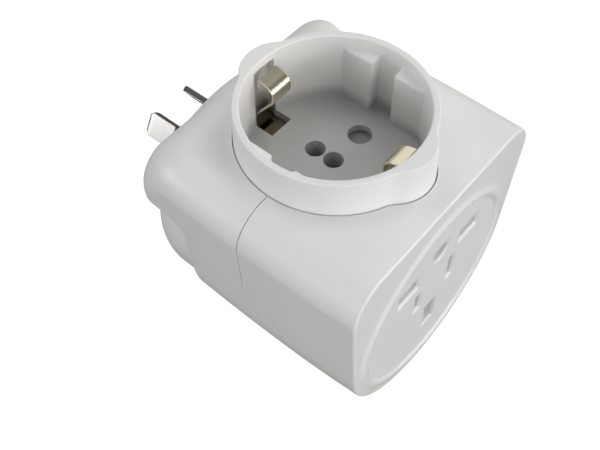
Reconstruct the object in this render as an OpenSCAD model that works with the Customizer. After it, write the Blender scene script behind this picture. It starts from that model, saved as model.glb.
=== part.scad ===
// Inbound travel adapter. AU/NZ plug on the back, earthed European socket cup on top,
// combined UK and US socket in the front face.
// Origin: centre of the plug face. +X points out of the wall, +Z up towards the cup, units mm.

/* [Case] */
// Distance from the plug face to the front face
front_x = 64.7; // [62:0.1:70]
// Height of the flat top above the plug centre
top_z = 31.5; // [31:0.1:34]
// Radius of the rounded belly under the case
belly_r = 29.4; // [28:0.1:30]
// Height of the belly's centre
belly_z = -0.8; // [-2:0.1:1]
// Radius of the two top corners
corner_r = 8.7; // [6:0.1:10]
// Half distance between the corner centres
corner_y = 22.6; // [20:0.1:24]
// Wall thickness of both shells
wall = 2; // [1.6:0.1:2.4]
// Radius of the round drum behind the case
drum_r = 27.7; // [26:0.1:28]

/* [European socket cup] */
// Distance of the cup's axis from the plug face
cup_x = 35.3; // [34:0.1:36]
// Height of the cup's rim
rim_z = 40.5; // [38:0.1:42]
// Inner radius of the cup
cup_in_r = 19.55; // [19.5:0.05:19.8]
// Outer radius of the cup
cup_out_r = 21.2; // [21:0.1:21.6]
// Depth of the recess
cup_depth = 17.7; // [17.3:0.1:18]
// Half distance between the two live pin holes
pin_hole_y = 9.5; // [9.4:0.1:9.6]
// Radius of the live pin holes
pin_hole_r = 2.75; // [2.6:0.05:2.9]
// Radius of the two earth pin holes
earth_hole_r = 2.25; // [2.1:0.05:2.3]
// Distance of the offset earth hole from the cup's axis
earth_offset = 5; // [4.9:0.1:5.2]

/* [Front socket] */
// Radius of the front socket plate
plate_r = 24.1; // [23:0.1:24.4]
// Height of the UK line and neutral slots
uk_z = 12.1; // [12:0.1:12.4]
// Height of the US blade slots
us_z = 2.3; // [2:0.1:2.5]
// Travel of the front shutter
shutter_travel = 8.2; // [8:0.1:8.4]

/* [Plug pins] */
// Length of the line and neutral pins outside the plug face
pin_l = 17.06; // [16.8:0.02:17.3]
// Length of the earth pin outside the plug face
earth_pin_l = 19.94; // [19.6:0.02:20.2]
// Width of a flat pin
pin_w = 6.35; // [6.3:0.01:6.4]
// Thickness of a flat pin
pin_t = 1.6; // [1.55:0.01:1.65]

/* [Hidden] */
$fn = 64;
eps = 0.02;

shell_white = "#dedddb";
inner_grey = "#b9b8b4";
steel = "#c4c6c8";
brass = "#c8b878";

// shell geometry
parting_top_x = 35.3;
parting_kink = [34.7, 7.6];
parting_arc_c = [29.3, -7.9];
parting_arc_r = 15.7;
drum_x = 0.4;
drum_round = 10.7;
drum_end_x = 17.5;
over_x = 3.1;
over_top_r = 14.9;
over_side_r = 8;
over_w = 30.9;
over_low_z = 15.7;
taper_end_x = 34;
step_fillet = 5;
fit_gap = 0.25;
bead_r = 25.9;
bead_w = 1.7;
bead_h = 0.8;

// cup geometry
floor_z = rim_z - cup_depth;
floor_t = 2;
floor_low_z = floor_z - floor_t;
ear_r = 8.5;
ear_x = 14.8;
window_y = 3.3;
window_x = 22;
pocket_x = 14.6;
rib_x = 2.8;
rib_y = 16.2;

// front socket geometry
plate_t = 2.8;
plate_back_x = front_x - plate_t;
shutter_x = 60.1;
shutter_t = 1.6;
carrier_x = 57.9;
carrier_t = 2;
uk_y = 11.11;
us_y = 6.35;
uk_earth_z = -9.8;
us_ground_z = 14.5;
uk_slot = [6.8, 4.4];
uk_earth_slot = [4.2, 8.7];
us_slot_n = [1.9, 8.5];
us_slot_l = [1.9, 6.6];
ground_w = 5.4;
ground_top_z = 17.2;
ground_low_z = 12.2;
shutter_half_w = 17;
shutter_top_z = 18.2;

// plug geometry
base_r = 16.5;
base_x = 3;
base_flange_r = 18.6;
base_back_x = 5.6;
pin_tail_x = 8.6;
pin_pos_r = 7.92;
pin_y = pin_pos_r * cos(30);
pin_z = pin_pos_r * sin(30);
earth_pin_z = -10.31;
sleeve_l = 9.5;
sleeve_in = 1.5;
neck = [5.6, 1.0];
sleeve = [6.55, 1.8];

// contacts and bars
sheet = 0.8;
leaf = 0.6;
tube_r = 3;
tube_in_r = 2.4;
earth_contact_r = 2.05;
tube_low_z = 7.2;
strap_w = 6;
strap_eye_w = 11;
collar_r = 2.95;
strap_top_z = 20.8;
strap_mid_z = 18.4;
carrier_top_z = 18.3;
carrier_low_z = 6.5;
bar_x = 46;

// screws: [y, z, x of the head's outer face]
case_screw_at = [[-20, 10, 6], [20, 10, 6], [0, -22.5, 16]];
case_screw_l = 36;
head_t = 2.5;
head_r = 2.7;
shank_r = 1.25;

function arc_pts(c, r, a0, a1, n) = [for (i = [0 : n])
    let (a = a0 + (a1 - a0) * i / n) [c[0] + r * cos(a), c[1] + r * sin(a)]];

// outline of the case across its length, as [y, z], inset by t
function case_outline(t) =
    let (dy = corner_y,
         dz = (top_z - corner_r) - belly_z,
         d = norm([dy, dz]),
         a = atan2(dz, dy) - acos((belly_r - corner_r) / d),
         c = [0, belly_z],
         k = top_z - corner_r)
    concat(arc_pts([corner_y, k], corner_r - t, a, 90, 12),
           arc_pts([-corner_y, k], corner_r - t, 90, 180 - a, 12),
           arc_pts(c, belly_r - t, 180 - a, 360 + a, 40));

module along_x(x0, x1) {
    translate([x0, 0, 0])
        rotate([90, 0, 90])
            linear_extrude(x1 - x0)
                children();
}

// prism of an [x, z] outline across the whole width
module across_y(w) {
    rotate([90, 0, 0])
        linear_extrude(w, center = true)
            children();
}

module bar_x_cyl(x0, x1, r, y = 0, z = 0) {
    translate([x0, y, z])
        rotate([0, 90, 0])
            cylinder(h = x1 - x0, r = r);
}

module box(a, b) {
    translate(a)
        cube(b - a);
}

module case_prism(x0, x1, t) {
    along_x(x0, x1)
        polygon(case_outline(t));
}

// side view of the wide part of the case, from its overhanging rear edge to the front
module side_profile(t) {
    r = over_top_r - t;
    f = step_fillet + t;
    fc = [drum_end_x + t - f, over_low_z + t - f];
    low = asin((over_low_z + t - top_z + over_top_r) / r);
    polygon(concat(
        arc_pts([over_x + over_top_r, top_z - over_top_r], r, 90, 180 - low, 12),
        arc_pts(fc, f, 90, 0, 6),
        [[drum_end_x + t, -40], [80, -40], [80, top_z - t]]));
}

// plan view of the case with its rounded rear corners
module plan_profile(t) {
    r = over_side_r - t;
    w = over_w - over_side_r;
    taper = atan((31.3 - over_w) / (taper_end_x - over_x - over_side_r));
    polygon(concat(
        [[taper_end_x, 31.3 - t]],
        arc_pts([over_x + over_side_r, w], r, 90 + taper, 180, 8),
        arc_pts([over_x + over_side_r, -w], r, 180, 270 - taper, 8),
        [[taper_end_x, t - 31.3], [80, t - 31.3], [80, 31.3 - t]]));
}

module case_wide(t) {
    intersection() {
        case_prism(0, front_x - t, t);
        across_y(100)
            side_profile(t);
        translate([0, 0, -50])
            linear_extrude(100)
                plan_profile(t);
    }
}

// round drum that carries the plug, with a rounded rear edge
module drum(t, x1) {
    r = drum_r - t;
    e = drum_round - t;
    rotate([0, 90, 0])
        rotate_extrude($fn = 96)
            polygon(concat([[0, drum_x + t]],
                arc_pts([r - e, drum_x + t + e], e, 270, 360, 10),
                [[r, x1], [0, x1]]));
}

// region behind the parting line, as an [x, z] outline
module rear_region(shift) {
    a0 = acos((parting_kink[0] - parting_arc_c[0]) / parting_arc_r);
    translate([shift, 0])
        polygon(concat([[-40, 60], [parting_top_x, 60], [parting_top_x, top_z], parting_kink],
            arc_pts(parting_arc_c, parting_arc_r, a0 - 6, 0, 10),
            [[parting_arc_c[0] + parting_arc_r, -60], [-40, -60]]));
}

// ring and two ears of the cup, between two heights
module cup_body(z0, z1, grow) {
    translate([cup_x, 0, z0]) {
        cylinder(h = z1 - z0, r = cup_out_r + grow, $fn = 128);
        for (s = [-1, 1])
            translate([s * ear_x, 0, 0])
                cylinder(h = z1 - z0, r = ear_r + grow, $fn = 96);
    }
}

module case_screw_holes(r, head) {
    for (p = case_screw_at) {
        bar_x_cyl(-1, p[2] + head_t, head, p[0], p[1]);
        bar_x_cyl(p[2], p[2] + head_t + case_screw_l + 1, r, p[0], p[1]);
    }
}

module front_shell() {
    color(shell_white)
    difference() {
        union() {
            difference() {
                union() {
                    case_prism(30, front_x, 0);
                    translate([front_x, 0, 0])
                        rotate([0, 90, 0])
                            rotate_extrude($fn = 128)
                                translate([bead_r, 0])
                                    scale_bead();
                }
                case_prism(29, front_x - wall, wall);
            }
            for (p = case_screw_at)
                front_boss(p);
        }
        across_y(100)
            rear_region(0.05);
        cup_body(10, 60, fit_gap);
        bar_x_cyl(front_x - wall - 1, front_x + 3, plate_r + 0.1);
        case_screw_holes(1.3, 3.1);
    }
}

// half-round cross-section of the raised ring about the socket plate
module scale_bead() {
    polygon([for (i = [0 : 12])
        [bead_w * cos(180 - 15 * i), bead_h * sin(15 * i) - (i % 12 == 0 ? 0.2 : 0)]]);
}

module front_boss(p) {
    x0 = p[0] == 0 ? parting_arc_c[0] + parting_arc_r : parting_kink[0];
    x1 = p[2] + head_t + case_screw_l + 3;
    bar_x_cyl(x0, x1, 3.2, p[0], p[1]);
    if (p[0] == 0)
        box([x0, -1, -28.5], [x1, 1, p[1]]);
    else
        box([x0, min(p[0], sign(p[0]) * 29), p[1] - 1],
            [x1, max(p[0], sign(p[0]) * 29), p[1] + 1]);
}

module rear_boss(p) {
    bar_x_cyl(drum_x + 1, p[2] + head_t + 2, 4.6, p[0], p[1]);
    bar_x_cyl(p[2], p[0] == 0 ? 44.9 : 34.6, 3.2, p[0], p[1]);
    if (p[0] == 0)
        box([drum_x + 2, -1, -26.6], [44.9, 1, p[1]]);
}

module rear_shell() {
    color(shell_white)
    difference() {
        union() {
            difference() {
                union() {
                    case_wide(0);
                    drum(0, drum_end_x + 1);
                }
                case_wide(wall);
                drum(wall + 0.5, drum_end_x + 4);
            }
            intersection() {
                union() {
                    for (p = case_screw_at)
                        rear_boss(p);
                }
                union() {
                    case_wide(0.5);
                    drum(0.5, drum_end_x + 1);
                }
            }
        }
        difference() {
            box([20, -50, -50], [90, 50, 60]);
            across_y(100)
                rear_region(0);
        }
        cup_body(10, 60, fit_gap);
        bar_x_cyl(-1, base_x + 0.1, base_r + 0.1);
        bar_x_cyl(base_x, base_back_x + 0.1, base_flange_r + 0.1);
        case_screw_holes(1.6, 3.1);
    }
}

// rectangular slot through the plate with a bevelled mouth, centred on [y, z]
module slot_cut(y, z, size, bevel = 0.5) {
    box([plate_back_x - 1, y - size[0] / 2, z - size[1] / 2],
        [front_x + 1, y + size[0] / 2, z + size[1] / 2]);
    hull() {
        box([front_x - bevel, y - size[0] / 2, z - size[1] / 2],
            [front_x - bevel + eps, y + size[0] / 2, z + size[1] / 2]);
        box([front_x, y - size[0] / 2 - bevel, z - size[1] / 2 - bevel],
            [front_x + 0.1, y + size[0] / 2 + bevel, z + size[1] / 2 + bevel]);
    }
}

// outline of the US ground hole: flat above, round below, as [y, z]
function ground_outline(g) = concat(
    [[-ground_w / 2 - g, ground_top_z + g]],
    arc_pts([0, ground_low_z + ground_w / 2], ground_w / 2 + g, 180, 360, 16),
    [[ground_w / 2 + g, ground_top_z + g]]);

module socket_plate() {
    color(shell_white)
    difference() {
        union() {
            bar_x_cyl(plate_back_x, front_x, plate_r, $fn = 128);
            bar_x_cyl(plate_back_x, front_x - wall - 0.05, 25.6, $fn = 128);
            for (s = [-1, 1], z = [-8, 8])
                bar_x_cyl(carrier_x + carrier_t, plate_back_x + 0.5, 2.6, s * 21, z);
        }
        slot_cut(-uk_y, uk_z, uk_slot);
        slot_cut(uk_y, uk_z, uk_slot);
        slot_cut(0, uk_earth_z, uk_earth_slot, 0.35);
        slot_cut(us_y, us_z, us_slot_n);
        slot_cut(-us_y, us_z, us_slot_l);
        along_x(plate_back_x - 1, front_x + 1)
            polygon(ground_outline(0));
        along_x(front_x - 0.5, front_x + 1)
            polygon(ground_outline(0.4));
        for (s = [-1, 1], z = [-8, 8])
            bar_x_cyl(50, 63.2, 1.1, s * 21, z);
    }
}

// four keying ribs inside the cup, each a flat face that runs into the round wall
module cup_ribs() {
    intersection() {
        translate([cup_x, 0, floor_z - 1])
            cylinder(h = rim_z - 3.2 - floor_z + 1, r = cup_in_r + 0.5, $fn = 128);
        union() {
            for (sx = [-1, 1], sy = [-1, 1])
                box([cup_x + min(sx * rib_x, sx * 11.6), min(sy * rib_y, sy * 21), 0],
                    [cup_x + max(sx * rib_x, sx * 11.6), max(sy * rib_y, sy * 21), 60]);
        }
    }
}

module schuko_cup() {
    color(shell_white)
    difference() {
        union() {
            difference() {
                union() {
                    cup_body(floor_low_z, rim_z, 0);
                    intersection() {
                        cup_body(27.2, top_z - wall - 0.1, 1.6);
                        box([17, -40, 0], [80, 40, 60]);
                    }
                }
                translate([cup_x, 0, floor_z])
                    cylinder(h = 30, r = cup_in_r, $fn = 128);
                for (s = [-1, 1])
                    box([cup_x + min(s * 12, s * window_x), -window_y, floor_z],
                        [cup_x + max(s * 12, s * window_x), window_y, rim_z - 1.4]);
            }
            cup_ribs();
            for (x = [0, -earth_offset])
                translate([cup_x + x, 0, strap_mid_z - sheet])
                    cylinder(h = floor_t + 2, r = collar_r);
            difference() {
                translate([cup_x, 0, 19.05])
                    cylinder(h = floor_low_z - 19.05 + 0.5, r = 15.7);
                translate([cup_x, 0, 18])
                    cylinder(h = floor_low_z - 18, r = 14.5);
            }
        }
        for (s = [-1, 1]) {
            translate([cup_x, s * pin_hole_y, 10])
                cylinder(h = 20, r = pin_hole_r);
            box([cup_x + min(s * pocket_x, s * window_x), -window_y, 15],
                [cup_x + max(s * pocket_x, s * window_x), window_y, floor_z + 1]);
            box([cup_x + min(s * 14.3, s * 16), -3.6, 15],
                [cup_x + max(s * 14.3, s * 16), 3.6, floor_low_z]);
        }
        translate([cup_x, 0, 10])
            cylinder(h = 20, r = earth_hole_r);
        translate([cup_x - earth_offset, 0, 10])
            cylinder(h = 20, r = earth_hole_r);
    }
}

// outline of a flat pin in its own plane, tip to the left, as [x, w]
function pin_outline(l, w, tail) = let (r = 1.4) concat(
    arc_pts([-l + r, w / 2 - r], r, 180, 90, 6),
    [[tail, w / 2], [tail, -w / 2]],
    arc_pts([-l + r, -w / 2 + r], r, 270, 180, 6));

module flat_pin(l, tail) {
    rotate([90, 0, 0])
        linear_extrude(pin_t, center = true)
            polygon(pin_outline(l, pin_w, tail));
}

// places a live pin, s = -1 for line and 1 for neutral: the tops lean together
module at_live_pin(s) {
    translate([0, s * pin_y, pin_z])
        rotate([s * 30, 0, 0])
            children();
}

module live_pin(s) {
    color(steel)
    at_live_pin(s)
        difference() {
            flat_pin(pin_l, pin_tail_x);
            difference() {
                box([-sleeve_l, -5, -5], [sleeve_in, 5, 5]);
                box([-sleeve_l - 1, -neck[1] / 2, -neck[0] / 2],
                    [sleeve_in + 1, neck[1] / 2, neck[0] / 2]);
            }
        }
}

module live_pin_sleeve(s) {
    color("#161616")
    at_live_pin(s)
        difference() {
            box([-sleeve_l, -sleeve[1] / 2, -sleeve[0] / 2],
                [sleeve_in, sleeve[1] / 2, sleeve[0] / 2]);
            box([-sleeve_l - 1, -neck[1] / 2, -neck[0] / 2],
                [sleeve_in + 1, neck[1] / 2, neck[0] / 2]);
        }
}

module line_pin() { live_pin(-1); }
module neutral_pin() { live_pin(1); }
module line_pin_sleeve() { live_pin_sleeve(-1); }
module neutral_pin_sleeve() { live_pin_sleeve(1); }

module earth_pin() {
    color(steel)
    translate([0, 0, earth_pin_z])
        flat_pin(earth_pin_l, pin_tail_x);
}

module plug_base() {
    color(shell_white)
    difference() {
        union() {
            bar_x_cyl(0, base_back_x, base_r, $fn = 96);
            bar_x_cyl(base_x + 0.05, base_back_x, base_flange_r, $fn = 96);
        }
        for (s = [-1, 1])
            at_live_pin(s) {
                box([-1, -pin_t / 2, -pin_w / 2], [20, pin_t / 2, pin_w / 2]);
                box([-1, -sleeve[1] / 2, -sleeve[0] / 2],
                    [sleeve_in, sleeve[1] / 2, sleeve[0] / 2]);
            }
        box([-1, -pin_t / 2, earth_pin_z - pin_w / 2], [20, pin_t / 2, earth_pin_z + pin_w / 2]);
    }
}

// side view of an earth clip, distances from the cup's axis and heights, inner face first
clip_face = [[18.2, 37.2], [15.6, 36.3], [14.5, 35.2], [14.2, 33.9], [14.6, 32.5], [18.9, 26.8],
    [19.2, 25.8], [19.2, 21.1]];

module earth_clip(s) {
    t = leaf;
    n = len(clip_face);
    outer = [for (i = [0 : n - 1])
        let (a = clip_face[max(i - 1, 0)],
             b = clip_face[min(i + 1, n - 1)],
             d = (b - a) / norm(b - a))
        clip_face[i] + t * [-d[1], d[0]]];
    color(brass)
    translate([cup_x, 0, 0]) {
        rotate([90, 0, 0])
            linear_extrude(5.8, center = true)
                polygon([for (p = concat(clip_face, [for (i = [n - 1 : -1 : 0]) outer[i]]))
                    [s * p[0], p[1]]]);
        box([min(s * 19.2, s * (19.2 + t)), -1.5, 18.9], [max(s * 19.2, s * (19.2 + t)), 1.5, 21.3]);
    }
}

module rear_earth_clip() { earth_clip(-1); }
module front_earth_clip() { earth_clip(1); }

// brass strap under the cup floor: low in the middle, raised under both clip pockets
module earth_strap() {
    color(brass)
    translate([cup_x, 0, 0])
    difference() {
        union() {
            rotate([90, 0, 0])
                linear_extrude(strap_w, center = true)
                    polygon(concat(
                        [for (s = [[-22.4, 0], [-14.6, 0], [-14.6, 1], [14.6, 1], [14.6, 0], [22.4, 0]])
                            [s[0], s[1] == 0 ? strap_top_z - eps : strap_mid_z]],
                        [for (s = [[22.4, 0], [15.4, 0], [15.4, 1], [-15.4, 1], [-15.4, 0], [-22.4, 0]])
                            [s[0], (s[1] == 0 ? strap_top_z - eps : strap_mid_z) - sheet]]));
            box([-earth_offset - 4.8, -strap_eye_w / 2, strap_mid_z - sheet],
                [4.8, strap_eye_w / 2, strap_mid_z]);
        }
        for (s = [-1, 1])
            box([min(s * 18.4, s * 20.4), -1.8, 15], [max(s * 18.4, s * 20.4), 1.8, 25]);
        for (x = [0, -earth_offset])
            translate([x, 0, 10])
                cylinder(h = 20, r = collar_r);
    }
}

module contact_tube(r_out, r_in) {
    difference() {
        translate([0, 0, tube_low_z])
            cylinder(h = 10, r = r_out);
        translate([0, 0, tube_low_z + sheet])
            cylinder(h = 20, r = r_in);
    }
}

module cup_earth_contact() {
    color(brass)
    translate([cup_x, 0, 0])
    difference() {
        box([-earth_offset - 2.9, -2.9, tube_low_z], [2.9, 2.9, strap_mid_z - sheet]);
        for (x = [0, -earth_offset])
            translate([x, 0, tube_low_z + sheet])
                cylinder(h = 20, r = earth_contact_r);
    }
}

module cup_live_contact(s) {
    color(brass)
    translate([cup_x, s * pin_hole_y, 0])
        difference() {
            contact_tube(tube_r, tube_in_r);
            box([-0.4, -5, tube_low_z + 3], [0.4, 5, 30]);
        }
}

module cup_line_contact() { cup_live_contact(-1); }
module cup_neutral_contact() { cup_live_contact(1); }

module cup_contact_carrier() {
    color(inner_grey)
    difference() {
        box([cup_x - 12, -14, carrier_low_z], [cup_x + 9.7, 14, carrier_top_z]);
        for (s = [-1, 1])
            translate([cup_x, s * pin_hole_y, 0])
                cylinder(h = 30, r = tube_r + 0.05);
        box([cup_x - earth_offset - 2.95, -2.95, 0], [cup_x + 2.95, 2.95, 30]);
        box([0, -strap_w / 2 - 0.1, strap_mid_z - sheet], [90, strap_w / 2 + 0.1, 30]);
        box([cup_x - earth_offset - 4.9, -strap_eye_w / 2 - 0.1, strap_mid_z - sheet],
            [cup_x + 4.9, strap_eye_w / 2 + 0.1, 30]);
    }
}

// sector outline that covers one live hole
module shutter_pad() {
    polygon(concat(arc_pts([0, 0], 6, 72.5, 107.5, 8), arc_pts([0, 0], 13.6, 107.5, 72.5, 8)));
}

module cup_shutter() {
    color(inner_grey)
    translate([cup_x, 0, 19.05])
        union() {
            difference() {
                cylinder(h = 1.5, r = 14.2);
                translate([0, 0, -1])
                    cylinder(h = 4, r = 13);
            }
            for (a = [0, 180])
                rotate(a)
                    linear_extrude(1.5)
                        shutter_pad();
        }
}

module cup_shutter_spring() {
    color(steel)
    translate([cup_x, 0, 18.72])
        rotate([0, 0, 20])
            rotate_extrude(angle = 320)
                translate([13.5, 0])
                    circle(r = 0.22, $fn = 16);
}

module front_shutter() {
    x1 = shutter_x + shutter_t;
    d = shutter_travel;
    color(inner_grey)
    difference() {
        union() {
            box([shutter_x, -shutter_half_w, -6], [x1, shutter_half_w, shutter_top_z]);
            box([shutter_x, -4.5, uk_earth_z - 4.1], [x1, 4.5, -5]);
        }
        for (s = [-1, 1]) {
            box([50, s * uk_y - 3.35, uk_z - d - 2.3], [70, s * uk_y + 3.35, uk_z - d + 2.3]);
            box([50, s * us_y - 1, us_z - d - 3.45], [70, s * us_y + 1, us_z - d + 3.45]);
        }
        bar_x_cyl(50, 70, 2.7, 0, us_ground_z - d);
    }
}

// round wire wound along +Z from the origin
module coil(r, wire, length, turns) {
    sides = 6;
    steps = turns * 14;
    pts = [for (i = [0 : steps], k = [0 : sides - 1])
        let (a = 360 * turns * i / steps,
             b = 360 * k / sides,
             q = r + wire * cos(b))
        [q * cos(a), q * sin(a), wire + (length - 2 * wire) * i / steps + wire * sin(b)]];
    walls = [for (i = [0 : steps - 1], k = [0 : sides - 1])
        let (m = (k + 1) % sides)
        [i * sides + k, i * sides + m, (i + 1) * sides + m, (i + 1) * sides + k]];
    caps = [[for (k = [sides - 1 : -1 : 0]) k],
        [for (k = [0 : sides - 1]) steps * sides + k]];
    polyhedron(points = pts, faces = concat(walls, caps), convexity = 10);
}

module front_shutter_springs() {
    color(steel)
    for (s = [-1, 1])
        translate([shutter_x + shutter_t / 2, s * 12, shutter_top_z + 0.05])
            coil(0.75, 0.17, top_z - wall - shutter_top_z - 0.1, 8);
}

// open-backed box that guides a contact, [y, z] corners
module housing(a, b) {
    t = 0.8;
    difference() {
        box([bar_x + 1.5, a[0] - t, a[1] - t], [carrier_x + 0.5, b[0] + t, b[1] + t]);
        box([bar_x, a[0], a[1]], [carrier_x + 2, b[0], b[1]]);
    }
}

module front_contact_carrier() {
    x1 = carrier_x + carrier_t;
    color(inner_grey)
    difference() {
        union() {
            intersection() {
                bar_x_cyl(carrier_x, x1, 26, $fn = 96);
                box([0, -40, -40], [90, 40, 20.2]);
            }
            for (s = [-1, 1]) {
                housing([s * 9.7 - 4.8, -1.6], [s * 9.7 + 4.8, 15]);
                box([x1 - 0.5, s * 17.8 - 0.5, -16], [plate_back_x - 0.1, s * 17.8 + 0.5, 20.2]);
            }
            housing([-3.2, -15], [3.2, -4.6]);
            bar_x_cyl(bar_x + 1.5, carrier_x + 0.5, 3.9, 0, us_ground_z);
        }
        for (s = [-1, 1]) {
            box([50, s * uk_y - 3.5, uk_z - 2.3], [70, s * uk_y + 3.5, uk_z + 2.3]);
            box([50, s * us_y - 1.1, us_z - 3.5], [70, s * us_y + 1.1, us_z + 3.5]);
        }
        box([50, -2.3, uk_earth_z - 4.3], [70, 2.3, uk_earth_z + 4.3]);
        bar_x_cyl(40, carrier_x, 3.2, 0, us_ground_z);
        box([40, -3.3, strap_mid_z - sheet - 0.1], [cup_x + 15.8, 3.3, 30]);
        bar_x_cyl(50, 70, 2.7, 0, us_ground_z);
        for (s = [-1, 1], z = [-8, 8])
            bar_x_cyl(50, 70, 1.3, s * 21, z);
    }
}

module front_live_contact(s) {
    x1 = carrier_x - 0.5;
    color(brass) {
        box([bar_x, s * 9.7 - 4.7, -1.5], [bar_x + sheet, s * 9.7 + 4.7, 14.9]);
        for (k = [-1, 1]) {
            box([bar_x, s * uk_y - 3.2, uk_z + k * 2.35 - leaf / 2],
                [x1, s * uk_y + 3.2, uk_z + k * 2.35 + leaf / 2]);
            box([bar_x, s * us_y + k * 1.1 - leaf / 2, us_z - 3.3],
                [x1, s * us_y + k * 1.1 + leaf / 2, us_z + 3.3]);
        }
    }
}

module front_line_contact() { front_live_contact(-1); }
module front_neutral_contact() { front_live_contact(1); }

module front_earth_contact() {
    x1 = carrier_x - 0.5;
    back = 40.8;
    color(brass) {
        box([back, -3, -14.4], [back + sheet, 3, -5]);
        for (k = [-1, 1])
            box([back, k * 2.35 - leaf / 2, uk_earth_z - 4], [x1, k * 2.35 + leaf / 2, uk_earth_z + 4]);
        box([back, -2, -5.8], [bar_x, 2, -5]);
        box([bar_x - sheet, -2, -5.8], [bar_x, 2, us_ground_z + 2]);
        difference() {
            bar_x_cyl(bar_x - sheet, x1, 3.05, 0, us_ground_z);
            bar_x_cyl(bar_x + eps, 70, 2.45, 0, us_ground_z);
            box([bar_x + 3, -0.3, 0], [70, 0.3, 30]);
        }
    }
}

module live_busbar(s) {
    color(brass) {
        box([pin_tail_x, s * 7 - 3.2, 1.2], [pin_tail_x + sheet, s * 7 + 3.2, 6.2]);
        box([pin_tail_x, s * pin_hole_y - 0.4, 2], [bar_x, s * pin_hole_y + 0.4, 5.6]);
        box([cup_x - 2, s * pin_hole_y - 0.4, 2], [cup_x + 2, s * pin_hole_y + 0.4, tube_low_z]);
    }
}

module line_busbar() { live_busbar(-1); }
module neutral_busbar() { live_busbar(1); }

module earth_busbar() {
    z = earth_pin_z;
    color(brass) {
        box([pin_tail_x, -2.5, z - 3], [pin_tail_x + sheet, 2.5, z + 3]);
        box([pin_tail_x, -0.4, z - 2], [40.8, 0.4, z + 2]);
        box([cup_x - 2, -0.4, z - 2], [cup_x + 1, 0.4, tube_low_z]);
    }
}

// pan-head screw along +X, head first
module screw(x, y, z, l, hr, r) {
    bar_x_cyl(x + head_t, x + head_t + l, r, y, z);
    difference() {
        bar_x_cyl(x, x + head_t, hr, y, z);
        for (a = [0, 90])
            translate([x, y, z])
                rotate([a, 0, 0])
                    box([-1, -1.6, -0.35], [1.4, 1.6, 0.35]);
    }
}

module case_screws() {
    color(steel)
    for (p = case_screw_at)
        screw(p[2], p[0], p[1], case_screw_l, head_r, shank_r);
}

module carrier_screws() {
    color(steel)
    for (s = [-1, 1], z = [-8, 8])
        screw(carrier_x - head_t, s * 21, z, 5, 2.1, 1.05);
}

front_shell();
rear_shell();
socket_plate();
schuko_cup();
plug_base();
line_pin();
neutral_pin();
earth_pin();
line_pin_sleeve();
neutral_pin_sleeve();
rear_earth_clip();
front_earth_clip();
earth_strap();
cup_earth_contact();
cup_line_contact();
cup_neutral_contact();
cup_contact_carrier();
cup_shutter();
cup_shutter_spring();
front_shutter();
front_shutter_springs();
front_contact_carrier();
front_line_contact();
front_neutral_contact();
front_earth_contact();
line_busbar();
neutral_busbar();
earth_busbar();
case_screws();
carrier_screws();
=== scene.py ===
import bpy, bmesh, math
import numpy as np
from mathutils import Matrix, Vector


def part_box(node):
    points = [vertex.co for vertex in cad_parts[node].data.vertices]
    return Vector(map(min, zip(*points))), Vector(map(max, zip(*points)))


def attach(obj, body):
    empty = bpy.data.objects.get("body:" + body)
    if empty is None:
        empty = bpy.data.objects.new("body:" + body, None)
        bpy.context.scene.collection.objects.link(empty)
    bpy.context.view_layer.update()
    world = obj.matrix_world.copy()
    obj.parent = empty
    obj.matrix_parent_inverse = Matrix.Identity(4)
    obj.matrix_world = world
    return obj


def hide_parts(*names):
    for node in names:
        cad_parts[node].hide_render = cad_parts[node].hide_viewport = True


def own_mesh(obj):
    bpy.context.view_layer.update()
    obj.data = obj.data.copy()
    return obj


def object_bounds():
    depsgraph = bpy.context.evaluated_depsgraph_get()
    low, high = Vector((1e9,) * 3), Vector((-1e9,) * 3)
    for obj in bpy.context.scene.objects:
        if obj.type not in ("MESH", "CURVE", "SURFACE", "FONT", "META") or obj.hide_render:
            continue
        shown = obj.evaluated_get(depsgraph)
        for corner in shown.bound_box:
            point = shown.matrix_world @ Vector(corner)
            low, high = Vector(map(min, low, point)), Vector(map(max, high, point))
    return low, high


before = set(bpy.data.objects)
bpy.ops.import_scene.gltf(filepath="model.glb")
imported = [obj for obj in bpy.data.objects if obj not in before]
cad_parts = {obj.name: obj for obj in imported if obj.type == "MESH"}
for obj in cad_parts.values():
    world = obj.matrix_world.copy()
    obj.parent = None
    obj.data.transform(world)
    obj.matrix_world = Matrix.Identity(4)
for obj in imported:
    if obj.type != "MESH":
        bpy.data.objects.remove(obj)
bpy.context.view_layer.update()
S = 1000.0                                   # millimetres in a metre


def mm(node):
    """Lowest and highest corners of a CAD node's box, in millimetres."""
    lo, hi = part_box(node)
    return [c * S for c in lo], [c * S for c in hi]


# ---- sizes, in millimetres; places come from the frame -----------------------------------------
_, cup_hi = mm("schuko_cup")
plate_lo, plate_hi = mm("socket_plate")
shell_lo, shell_hi = mm("front_shell")
rear_lo, _ = mm("rear_shell")
turn_lo, turn_hi = mm("cup_shutter")
CUP_X = (turn_lo[0] + turn_hi[0]) / 2        # the cup's axis
RIM = cup_hi[2]
FLOOR = RIM - 17.7
FLOOR_LOW = FLOOR - 2.0
FRONT = plate_hi[0]
TOP = shell_hi[2]
CY, CR = 22.58, 8.7                          # centre and radius of the case's top corners
CZ = TOP - CR
BELLY_Z = -0.8                               # axis of the round underside
BELLY_R = BELLY_Z - shell_lo[2]
DRUM_X, DRUM_R, DRUM_E = rear_lo[0], 27.7, 10.7     # end, radius and fillet of the rear drum
STEP_X, LEDGE_Z, LEDGE_F = 17.5, 14.2, 5.0   # where the case steps down to the drum
OVER_X, OVER_R = 2.25, 14.5                  # where the top rolls over into the rear
CUP_R = 19.55                                # the recess in the cup
UK_Y, UK_Z = 11.11, 12.1                     # slot centres of the front socket
US_Y, US_Z = 6.35, 2.3
EARTH_Z, GROUND_Z = -9.8, 14.9
PIN_W, PIN_T = 6.35, 1.6                     # flat pins
PIN_REACH = 7.92                             # from the plug's centre to a live pin


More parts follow.
